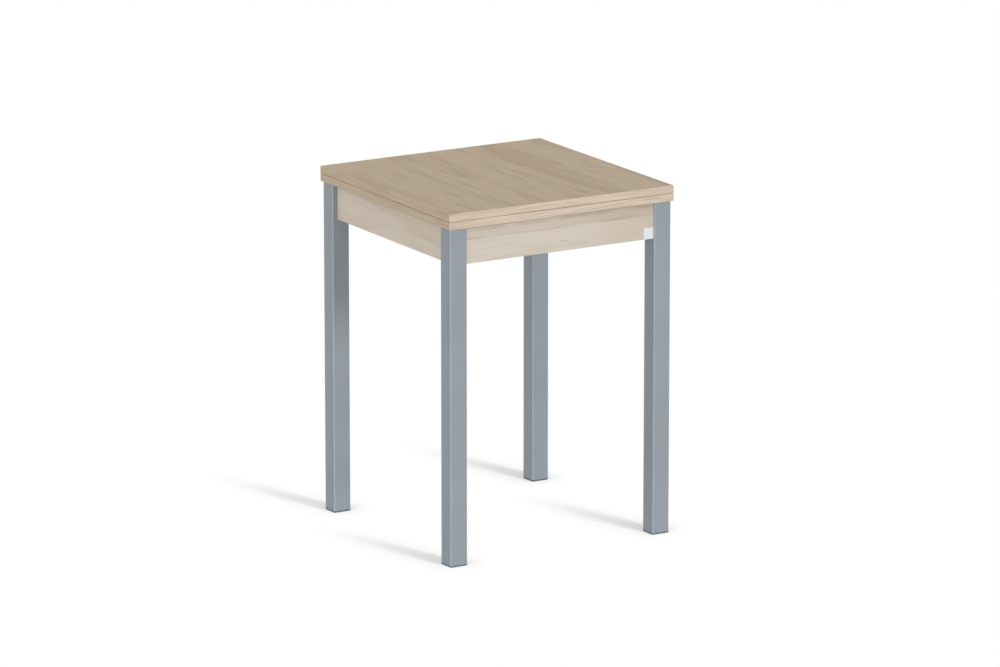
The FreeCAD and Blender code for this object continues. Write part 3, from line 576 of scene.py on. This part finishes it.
def welded_tab(name, start, run):
    """Tab that runs along the run axis from its lowest corner, the tab's holes through its thickness."""
    through = 1 - run
    low, high = Vector(start), Vector(start)
    high[run] += TAB_LENGTH
    high[through] += TAB_PLATE
    high.z = tab_high.z
    tab = block(name, low, high)
    round_edges(tab, TAB_CORNER, ARC_STEPS, lambda middle, along: abs(along[through]) > 0.9
                and at(middle[run], high[run]))
    round_edges(tab, EDGE_BREAK, 2, lambda middle, along: at(middle[through], high[through])
                and not at(middle[run], low[run]))
    spots = []
    for level in (-1, 1):
        spot = high.copy()
        spot[run] = low[run] + TAB_SCREW_REACH
        spot.z = (low.z + high.z + level * TAB_SCREW_SPREAD) / 2
        combine(tab, rod("drill", SCREW_BORE, 4 * TAB_PLATE, spot, through))
        spots.append(spot)
    tab.data.materials.append(POWDER_COAT)
    smooth(tab)
    weld = low.copy()
    weld[run] += WELD_SINK
    weld[through] = high[through] + WELD_SINK
    weld.z = (low.z + high.z - WELD_RIPPLES * WELD_STEP) / 2
    bead = rod(f"{name}_weld", WELD_RADIUS, WELD_SINK, weld, sides=12)
    pick(bead, "FACE", lambda middle, normal: normal.z > 0.9)
    for ripple in range(WELD_RIPPLES):
        for factor in (WELD_WAIST, 1 / WELD_WAIST):
            extrude((0, 0, WELD_STEP / 2), factor, weld)
    done(bead)
    bead.data.materials.append(POWDER_COAT)
    smooth(bead, 60)
    return tab, bead, spots


tab_low, tab_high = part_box("leg_tabs")
inside_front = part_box("apron_front")[1].y        # the front and left aprons' inner faces
inside_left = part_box("apron_left")[1].x
front_tab = welded_tab("tab_front_left_along_x", (leg_high.x, inside_front, tab_low.z), ALONG_X)
side_tab = welded_tab("tab_front_left_along_y", (inside_left, leg_high.y, tab_low.z), ALONG_Y)
tabs = []
for corner, (across, along) in CORNERS.items():
    flip = (across > 0, along > 0)
    for made in (*front_tab[:2], *side_tab[:2]):
        if corner == "front_left":
            tabs.append(made)
        else:
            tabs.append(smooth(copy_of(made, made.name.replace("front_left", corner), flip=flip), 60))
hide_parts("leg_tabs")
for tab in tabs:
    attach(tab, "base")

# ----------------------------------------------------------
# Pan-head screws: 4 x 15 mm chipboard screws, zinc plated, with a cross recess. Sixteen hold the
# aprons to the tabs.
# ----------------------------------------------------------
SCREW_HEAD = 0.0040               # radius
SCREW_RISE = 0.0024
SCREW_SHANK = 0.0020
SCREW_LENGTH = 0.015
SCREW_DOME = 0.0019               # radius of the head's rounded rim
SCREW_POINT = 0.004               # length of the point
SCREW_TIP = 0.12                  # width of its tip, over the shank's
RECESS = 0.0034
RECESS_SLOT = 0.0009
RECESS_DEPTH = 0.0012
CLEAR = 0.001                     # how far a cutting shape stands out of what it cuts


def plated_steel(name, dark, light, roughness):
    """Plated steel pressings: bright metal with a soft rolled grain and slight clouding of the plate."""
    material, tree, place = finish_named(name)
    cloud = add(tree, "TexNoise", {"Vector": place, "Scale": 1 / 0.012, "Detail": 4.0, "Roughness": 0.6})
    rolled = add(tree, "TexNoise", {
        "Vector": stretched(tree, place, ALONG_Y, 0.0006, 0.012), "Scale": 1.0})
    tone = add(tree, "ValToRGB", {"Fac": cloud.outputs["Fac"]}, ((0.3, dark), (0.7, light)))
    gloss = add(tree, "MapRange", {
        "Value": cloud.outputs["Fac"], "From Min": 0.3, "From Max": 0.7, "To Min": roughness - 0.05,
        "To Max": roughness + 0.07})
    bump = add(tree, "Bump", {"Height": rolled.outputs["Fac"], "Strength": 0.08, "Distance": 0.0001})
    metal = add(tree, "BsdfPrincipled", {
        "Base Color": tone.outputs["Color"], "Metallic": 1.0, "Roughness": gloss.outputs["Result"],
        "Normal": bump.outputs["Normal"]})
    add(tree, "OutputMaterial", {"Surface": metal.outputs["BSDF"]})
    return material


def driven_screw(name, spot, turn):
    """Copy of the screw with its head seated at the spot, turned the way it is driven."""
    screw = copy_of(pan_screw, name)
    screw.rotation_euler, screw.location = turn, spot
    return smooth(done(screw))


ZINC = plated_steel("bright_zinc_plate", "#b9bec3", "#cdd2d6", 0.32)
pan_screw = rod("pan_screw", SCREW_HEAD, SCREW_RISE, (0, 0, SCREW_RISE / 2), sides=24)
round_edges(pan_screw, SCREW_DOME, 5, lambda middle, along: at(middle.z, SCREW_RISE))
pick(pan_screw, "FACE", lambda middle, normal: normal.z < -0.9)
bpy.ops.mesh.inset(thickness=SCREW_HEAD - SCREW_SHANK)
extrude((0, 0, SCREW_POINT - SCREW_LENGTH))
extrude((0, 0, -SCREW_POINT), SCREW_TIP)
done(pan_screw)
for wide, deep in ((RECESS, RECESS_SLOT), (RECESS_SLOT, RECESS)):
    combine(pan_screw, block("driver_blade", (-wide / 2, -deep / 2, SCREW_RISE - RECESS_DEPTH),
                             (wide / 2, deep / 2, SCREW_RISE + CLEAR)))
pan_screw.data.materials.append(ZINC)
tab_screws = []
for corner, (across, along) in CORNERS.items():
    for made, turn in ((front_tab, (pi / 2 * along, 0, 0)), (side_tab, (0, -pi / 2 * across, 0))):
        for spot in made[2]:
            seat = (-across * spot.x, -along * spot.y, spot.z)
            tab_screws.append(driven_screw(f"tab_screw_{corner}_{len(tab_screws) % 4 + 1}", seat, turn))
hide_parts("tab_screws")
for screw in tab_screws:
    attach(screw, "base")

# ----------------------------------------------------------
# Cross board and brackets: 16 mm chipboard faced with white melamine, hung between the front and
# back aprons by four angles of 2 mm steel strip, bent to a 3 mm radius, round-cornered and plated.
# ----------------------------------------------------------
BRACKET_ARM = 0.034
BRACKET_WIDTH = 0.020
BRACKET_PLATE = 0.002
BRACKET_CORNER = 0.004
BRACKET_BENDS = 0.001, 0.003      # radius inside and outside the bend
BRACKET_SPREAD = 0.060            # between the two brackets at each end of the board
BRACKET_SCREW_REACH = 0.022       # bend to screws


def white_melamine():
    """White melamine facing: cool white with a faint pearl texture pressed in by the plate."""
    material, tree, place = finish_named("white_melamine")
    pearl = add(tree, "TexNoise", {"Vector": place, "Scale": 1 / 0.0015})
    cloud = add(tree, "TexNoise", {"Vector": place, "Scale": 1 / 0.08})
    tone = add(tree, "ValToRGB", {"Fac": cloud.outputs["Fac"]}, ((0.3, "#dfdfdb"), (0.7, "#e8e8e4")))
    gloss = add(tree, "MapRange", {"Value": pearl.outputs["Fac"], "To Min": 0.36, "To Max": 0.5})
    bump = add(tree, "Bump", {"Height": pearl.outputs["Fac"], "Strength": 0.15, "Distance": 0.0001})
    face = add(tree, "BsdfPrincipled", {
        "Base Color": tone.outputs["Color"], "IOR": 1.5, "Roughness": gloss.outputs["Result"],
        "Normal": bump.outputs["Normal"]})
    add(tree, "OutputMaterial", {"Surface": face.outputs["BSDF"]})
    return material


cross_board = board("swivel_cross_board", "pivot_board", 2, white_melamine())
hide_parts("pivot_board")
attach(cross_board, "base")

board_low, board_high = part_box("pivot_board")
bend = Vector(((board_low.x + board_high.x - BRACKET_SPREAD) / 2, inside_front, board_low.z))
bracket = block("bracket_front_left", (bend.x - BRACKET_WIDTH / 2, bend.y, bend.z - BRACKET_ARM),
                (bend.x + BRACKET_WIDTH / 2, bend.y + BRACKET_PLATE, bend.z))
bpy.ops.object.mode_set(mode="EDIT")
bpy.ops.mesh.select_all(action="SELECT")
bpy.ops.mesh.bisect(plane_co=(0, 0, bend.z - BRACKET_PLATE), plane_no=(0, 0, 1))
bpy.ops.object.mode_set(mode="OBJECT")
pick(bracket, "FACE", lambda middle, normal: normal.y > 0.9 and middle.z > bend.z - BRACKET_PLATE)
extrude((0, BRACKET_ARM - BRACKET_PLATE, 0))
bpy.ops.mesh.select_all(action="SELECT")
bpy.ops.mesh.dissolve_limited(angle_limit=radians(1))
done(bracket)
round_edges(bracket, BRACKET_BENDS[0], 3, lambda middle, along: abs(along.x) > 0.9
            and at(middle.y, bend.y + BRACKET_PLATE) and at(middle.z, bend.z - BRACKET_PLATE))
round_edges(bracket, BRACKET_BENDS[1], 6, lambda middle, along: abs(along.x) > 0.9
            and at(middle.y, bend.y) and at(middle.z, bend.z))
round_edges(bracket, BRACKET_CORNER, ARC_STEPS, lambda middle, along: abs(along.x) < 0.1
            and at(abs(middle.x - bend.x), BRACKET_WIDTH / 2)
            and (at(middle.z, bend.z - BRACKET_ARM) or at(middle.y, bend.y + BRACKET_ARM)))
wall_screw = bend + Vector((0, BRACKET_PLATE, -BRACKET_SCREW_REACH))
shelf_screw = bend + Vector((0, BRACKET_SCREW_REACH, -BRACKET_PLATE))
combine(bracket, rod("drill", SCREW_BORE, 4 * BRACKET_PLATE, wall_screw, 1))
combine(bracket, rod("drill", SCREW_BORE, 4 * BRACKET_PLATE, shelf_screw, 2))
bracket.data.materials.append(ZINC)
smooth(bracket)
brackets = [bracket]
bracket_screws = []
for end, back in (("front", 1), ("back", -1)):
    for side, shift in (("left", 0), ("right", BRACKET_SPREAD)):
        if (end, side) != ("front", "left"):
            brackets.append(smooth(copy_of(bracket, f"bracket_{end}_{side}", (shift, 0, 0),
                                           (False, back < 0))))
        bracket_screws += [
            driven_screw(f"bracket_screw_{end}_{side}_wall",
                         (wall_screw.x + shift, back * wall_screw.y, wall_screw.z), (-pi / 2 * back, 0, 0)),
            driven_screw(f"bracket_screw_{end}_{side}_shelf",
                         (shelf_screw.x + shift, back * shelf_screw.y, shelf_screw.z), (pi, 0, 0))]
bpy.data.objects.remove(pan_screw)
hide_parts("pivot_board_brackets")
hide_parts("bracket_screws")
for piece in brackets + bracket_screws:
    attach(piece, "base")

# ----------------------------------------------------------
# Stud, washer and lock nut: zinc plated steel. The nut is a hexagon with chamfered corners, and
# below it a rolled collar holds the nylon ring that grips the stud, whose threaded end shows below.
# ----------------------------------------------------------
STUD_RADIUS = 0.006
STUD_HEAD_DEPTH = 0.0015
THREAD_PITCH = 0.00125            # a fine thread, its turns drawn as rings
THREAD_TURNS = 2
THREAD_ROOT = 0.88                # width at the root of the thread, over the stud's
WASHER_LIFT = 0.00002             # oil film between the washer and the bush that it turns on
NUT_BODY = 0.010                  # height of the hexagon
NUT_CHAMFER = 0.0012
CHAMFER_BLANK = 1.002             # width of the turned blank that chamfers it, over the corners' width
COLLAR_RADIUS = 0.0085
COLLAR_ROUND = 0.001
OVERLAP = 0.0002                  # how far joined or cutting shapes run into each other
STUD_ROOM = 0.00605               # radius of the bore round the stud
STUD_ROOM_LENGTH = 0.03
RING_RADIUS = 0.0073
RING_SEAT = 0.0030                # depth of its seat in the collar
RING_INSET = 0.0004               # from the collar's end to the ring
RING_THICKNESS = 0.0025
RING_SLACK = 0.00005
nut_low, nut_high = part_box("pivot_lock_nut")
nut_axis = (nut_low + nut_high) / 2
corner_radius = (nut_high.x - nut_low.x) / 2
collar_top = nut_high.z - NUT_BODY


def turned(name, radius, bottom, top, sides=32, spin=0):
    """Bar on the stud's axis, from one height to another."""
    middle = (nut_axis.x, nut_axis.y, (bottom + top) / 2)
    return rod(name, radius, top - bottom, middle, sides=sides, spin=spin)


nut = turned("swivel_lock_nut", corner_radius, collar_top, nut_high.z, sides=6, spin=pi / 6)
blank = turned("chamfer_blank", corner_radius * CHAMFER_BLANK, collar_top, nut_high.z, sides=64)
round_edges(blank, NUT_CHAMFER, 1, lambda middle, along:
            at(middle.z, nut_high.z) or at(middle.z, collar_top))
combine(nut, blank, "INTERSECT")
collar = turned("rolled_collar", COLLAR_RADIUS, nut_low.z, collar_top + OVERLAP, sides=64)
round_edges(collar, COLLAR_ROUND, 4, lambda middle, along: at(middle.z, nut_low.z))
combine(nut, collar, "UNION")
combine(nut, rod("stud_room", STUD_ROOM, STUD_ROOM_LENGTH, nut_axis))
combine(nut, turned("ring_seat", RING_RADIUS, nut_low.z - OVERLAP, nut_low.z + RING_SEAT))
nut.data.materials.append(ZINC)
smooth(nut, 25)
ring_low = nut_low.z + RING_INSET
grip_ring = turned("lock_nut_nylon_ring", RING_RADIUS - RING_SLACK, ring_low, ring_low + RING_THICKNESS)
combine(grip_ring, rod("stud_room", STUD_ROOM, STUD_ROOM_LENGTH, nut_axis))
grip_ring.data.materials.append(NYLON)
smooth(grip_ring)
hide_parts("pivot_lock_nut")

low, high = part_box("pivot_washer")
washer = turned("swivel_washer", (high.x - low.x) / 2, low.z, high.z - WASHER_LIFT, sides=64)
round_edges(washer, EDGE_BREAK, 3, lambda middle, along: abs(along.z) < 0.1)
combine(washer, rod("stud_room", STUD_ROOM, STUD_ROOM_LENGTH, nut_axis))
washer.data.materials.append(ZINC)
smooth(washer)
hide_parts("pivot_washer")

low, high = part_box("pivot_stud")
stud = turned("swivel_stud", STUD_RADIUS, nut_low.z, high.z, sides=48)
pick(stud, "FACE", lambda middle, normal: normal.z < -0.9)
for factor in (THREAD_ROOT, 1 / THREAD_ROOT) * THREAD_TURNS:
    extrude((0, 0, -THREAD_PITCH / 2), factor, nut_axis)
extrude((0, 0, low.z + THREAD_TURNS * THREAD_PITCH - nut_low.z), THREAD_ROOT, nut_axis)
done(stud)
combine(stud, turned("stud_head", (high.x - low.x) / 2, high.z - STUD_HEAD_DEPTH, high.z, sides=48),
        "UNION")
stud.data.materials.append(ZINC)
smooth(stud)
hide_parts("pivot_stud")
for piece, seat in ((nut, "zinc_steel"), (washer, "zinc_steel"), (stud, "zinc_steel"), (grip_ring, "nylon")):
    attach(piece, "lower_leaf")

# ----------------------------------------------------------
# Swivel plates, disc spring, stop pin, hinges and flat-head screws: pressed steel, the fitting zinc
# plated and the hinges nickel plated. Ring and bush are nylon, the bumpers clear soft pads.
# ----------------------------------------------------------
NICKEL = plated_steel("nickel_plate", "#a5a39d", "#b7b5af", 0.30)
BUMPER_PAD = moulded_plastic("soft_clear_polyurethane", "#b5b5ae", "#c2c2bb", 0.35)
FINISH_OF_NODE = {
    ZINC: ["swivel_base_plate", "swivel_top_plate", "stop_pin", "spring_washer", "base_plate_screws",
           "top_plate_screws", "lower_hinge_screws", "upper_hinge_screws"],
    NICKEL: ["hinge_front_lower_half", "hinge_back_lower_half", "hinge_front_upper_half",
             "hinge_back_upper_half", "hinge_pins"],
    NYLON: ["slide_ring", "pivot_bush"],
    BUMPER_PAD: ["leaf_bumpers"],
}
for finish, members in FINISH_OF_NODE.items():
    for member in members:
        for seat in frame["nodes"][member].material_slots:
            seat.material = finish

# ----------------------------------------------------------
# Leaves: two 16 mm chipboard panels, faced on both sides with light oak melamine, the grain from
# front to back. Seats for the hinge flaps are routed into the facing sides along the fold edge.
# ----------------------------------------------------------
# The leaves' faces are painted darker than their front and back edge bands of the same decor: painted shade
# on the top.
LEAF_OAK_UPPER_PAINTED_DARKER = oak_decor("light_oak_melamine_upper_leaf", ALONG_Y, "#cbb89f", "#bfab91", "#a7927a",
                           "#9c8770", 0.75, 0.06)
LEAF_OAK_LOWER_PAINTED_DARKER = oak_decor("light_oak_melamine_lower_leaf", ALONG_Y, "#cbb89f", "#bfab91", "#a7927a",
                           "#9c8770", 0.75, 0.06, offset=(0.6, 0.1, 0.3))
FOLD_LINE = Vector(frame["joints"][1]["pos_m"])
FLAP_SHEET = 0.0015
KNUCKLE_RELIEF = 0.0004           # room round the knuckles
SLACK = 0.00005                   # room round the flaps
OVERRUN = 0.01                    # how far the router runs on past the fold edge
flap_low, flap_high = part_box("hinge_front_lower_half")
leaf_face = {"lower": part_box("lower_leaf_panel")[1].z, "upper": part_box("upper_leaf_panel")[0].z}
knuckle = FOLD_LINE.z - flap_low.z                # radius of the hinge barrel


def rout_for_hinges(leaf, side):
    """Seat for this leaf's flap and groove for the other flap's knuckles, at both hinges."""
    into = -1 if side == "lower" else 1           # from the facing side into the board
    face = leaf_face[side]
    for front, back in ((flap_low.y, flap_high.y), (-flap_high.y, -flap_low.y)):
        for near, depth in ((flap_low.x - SLACK, FLAP_SHEET),
                            (FOLD_LINE.x - knuckle - KNUCKLE_RELIEF, FLAP_SHEET + KNUCKLE_RELIEF)):
            levels = sorted((face + into * depth, face - into * CLEAR))
            combine(leaf, block("router_path", (near, front - SLACK, levels[0]),
                                (FOLD_LINE.x + OVERRUN, back + SLACK, levels[1])))


for side, decor in (("lower", LEAF_OAK_LOWER_PAINTED_DARKER), ("upper", LEAF_OAK_UPPER_PAINTED_DARKER)):
    leaf = board(f"{side}_leaf_board", f"{side}_leaf_panel", 2, decor)
    rout_for_hinges(leaf, side)
    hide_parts(f"{side}_leaf_panel")
    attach(leaf, f"{side}_leaf")

# ----------------------------------------------------------
# Leaf bands: 1 mm printed plastic edge band round all four edges of each leaf, its outer arrises
# scraped to a 0.5 mm radius. The front and back strips run the full width and cover the ends of
# the side strips.
# ----------------------------------------------------------
BAND = 0.001
ARRIS = 0.0005
LEAF_BAND_X = oak_band("oak_leaf_band_along_x", ALONG_X, "#dac9b5", "#d0bfab", "#ae9a84", (0.2, 0.1, 0))
# The side strips are a darker, yellower copy of the front and back strips: painted shade on the leaves'
# sides.
LEAF_BAND_Y_PAINTED_DARKER = oak_band("oak_leaf_band_along_y", ALONG_Y, "#d0bca0", "#c7b397", "#a59179", (0.4, 0.3, 0))
for side in ("lower", "upper"):
    low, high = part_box(f"{side}_leaf_edging")
    strips = []
    for place, across, near, far in (
            ("front", 1, (low.x, low.y, low.z), (high.x, low.y + BAND, high.z)),
            ("back", 1, (low.x, high.y - BAND, low.z), (high.x, high.y, high.z)),
            ("left", 0, (low.x, low.y + BAND, low.z), (low.x + BAND, high.y - BAND, high.z)),
            ("fold", 0, (high.x - BAND, low.y + BAND, low.z), (high.x, high.y - BAND, high.z))):
        strip = block(f"{side}_leaf_{place}_band", near, far)
        outer = near[across] if place in ("front", "left") else far[across]
        along_axis = 1 - across
        round_edges(strip, ARRIS, 4, lambda middle, along: abs(along[along_axis]) > 0.9
                    and at(middle[across], outer))
        strip.data.materials.append(LEAF_BAND_X if across else LEAF_BAND_Y_PAINTED_DARKER)
        if place == "fold":
            rout_for_hinges(strip, side)
        smooth(strip)
        strips.append(strip)
    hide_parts(f"{side}_leaf_edging")
    for strip in strips:
        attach(strip, f"{side}_leaf")

# ----------------------------------------------------------
# Studio: a white floor and background, a soft key light from the front right, a weak low one that
# reaches the back legs, a broad fill from the left, and a pale surround. The floor is whiter away
# from the feet, so each foot's shadow fades out behind it and the rest stays plain white.
# ----------------------------------------------------------
FLOOR_SIZE = 90
FLOOR_WHITE = (1.46, 1.46, 1.46, 1)              # lit by the lamps it comes out plain white
FLOOR_BOUNCE = (0.80, 0.80, 0.80, 1)             # what it throws back at the table
KEY_BEARING = 15                  # degrees from the front towards the right
SHADOW_REACH = 0.46               # how far behind a foot its shadow has faded out
SHADOW_FRONT = 0.077              # the same in front of it
SHADOW_SIDE = 0.085               # and to either side
SHADOW_CORE = 0.1                 # the share of that reach in which the shadow keeps its full depth


def seen(tree):
    """1 for what the camera sees, straight, in a gloss or through something clear; otherwise 0."""
    path = add(tree, "LightPath")
    either = add(tree, "Math", {
        0: path.outputs["Is Camera Ray"], 1: path.outputs["Is Glossy Ray"]}, operation="MAXIMUM")
    return add(tree, "Math", {
        0: either.outputs[0], 1: path.outputs["Is Transmission Ray"]}, operation="MAXIMUM").outputs[0]


bpy.ops.object.select_all(action="DESELECT")
bpy.ops.mesh.primitive_plane_add(size=FLOOR_SIZE, location=(0, 0, 0))
floor = bpy.context.active_object
floor.name = "studio_floor"
done(floor)
material, tree, place = finish_named("white_studio_floor")
plain = add(tree, "BsdfDiffuse", {"Color": FLOOR_BOUNCE})
near_by = add(tree, "BsdfDiffuse", {"Color": FLOOR_WHITE})
far_off = add(tree, "Emission", {"Color": (1, 1, 1, 1)})
foot_spot = (leg_low + leg_high) / 2
away = 1.0                                       # 0 at a foot, 1 where its shadow has faded out
for across, along in CORNERS.values():
    behind = add(tree, "Mapping", {
        "Vector": place, "Location": (-across * foot_spot.x, -along * foot_spot.y, 0),
        "Rotation": (0, 0, radians(KEY_BEARING)), "Scale": (SHADOW_SIDE, SHADOW_REACH, 1)},
        vector_type="TEXTURE")
    behind = add(tree, "SeparateXYZ", {"Vector": behind.outputs["Vector"]})
    before = add(tree, "Math", {
        0: behind.outputs["Y"], 1: -SHADOW_REACH / SHADOW_FRONT}, operation="MULTIPLY")
    reach = add(tree, "Math", {0: behind.outputs["Y"], 1: before.outputs[0]}, operation="MAXIMUM")
    reach = add(tree, "CombineXYZ", {"X": behind.outputs["X"], "Y": reach.outputs[0]})
    reach = add(tree, "VectorMath", {0: reach.outputs["Vector"]}, operation="LENGTH")
    away = add(tree, "Math", {0: away, 1: reach.outputs["Value"]}, operation="MINIMUM").outputs[0]
fade = add(tree, "MapRange", {"Value": away, "From Min": SHADOW_CORE}, interpolation_type="SMOOTHSTEP")
bright = add(tree, "MixShader", {
    "Fac": fade.outputs["Result"], 1: near_by.outputs["BSDF"], 2: far_off.outputs["Emission"]})
mixed = add(tree, "MixShader", {"Fac": seen(tree), 1: plain.outputs["BSDF"], 2: bright.outputs["Shader"]})
add(tree, "OutputMaterial", {"Surface": mixed.outputs["Shader"]})
floor.data.materials.append(material)

world = bpy.data.worlds.new("studio_surround")
bpy.context.scene.world = world
world.use_nodes = True
tree = world.node_tree
tree.nodes.clear()
surround = add(tree, "Background", {"Color": (1, 1, 1, 1), "Strength": 0.44})
white = add(tree, "Background", {"Color": (1, 1, 1, 1)})
mixed = add(tree, "MixShader", {
    "Fac": seen(tree), 1: surround.outputs["Background"], 2: white.outputs["Background"]})
add(tree, "OutputWorld", {"Surface": mixed.outputs["Shader"]})


def soft_light(name, turn, rise, spread, strength):
    """Broad far light; turn is its bearing from the front to the right, rise its height, in degrees."""
    lamp = bpy.data.lights.new(name, "SUN")
    lamp.angle, lamp.energy = radians(spread), pi * strength
    light = bpy.data.objects.new(name, lamp)
    bpy.context.scene.collection.objects.link(light)
    light.rotation_euler = (radians(90 - rise), 0, radians(turn))


soft_light("key_light", KEY_BEARING, 23, 13, 0.36)
soft_light("low_front_light", -28, 4, 30, 0.16)
soft_light("fill_light", -69, 20, 70, 0.25)

camera_data = bpy.data.cameras.new("camera")
camera_data.lens = 234
camera_data.sensor_width = 36
camera_data.clip_end = 200
camera = bpy.data.objects.new("camera", camera_data)
bpy.context.scene.collection.objects.link(camera)
camera.location = (-6.773, -11.433, 3.722)
camera.rotation_euler = (radians(90 - 14.00), 0, radians(-30.68))
bpy.context.scene.camera = camera
bpy.context.scene.view_settings.view_transform = "Standard"
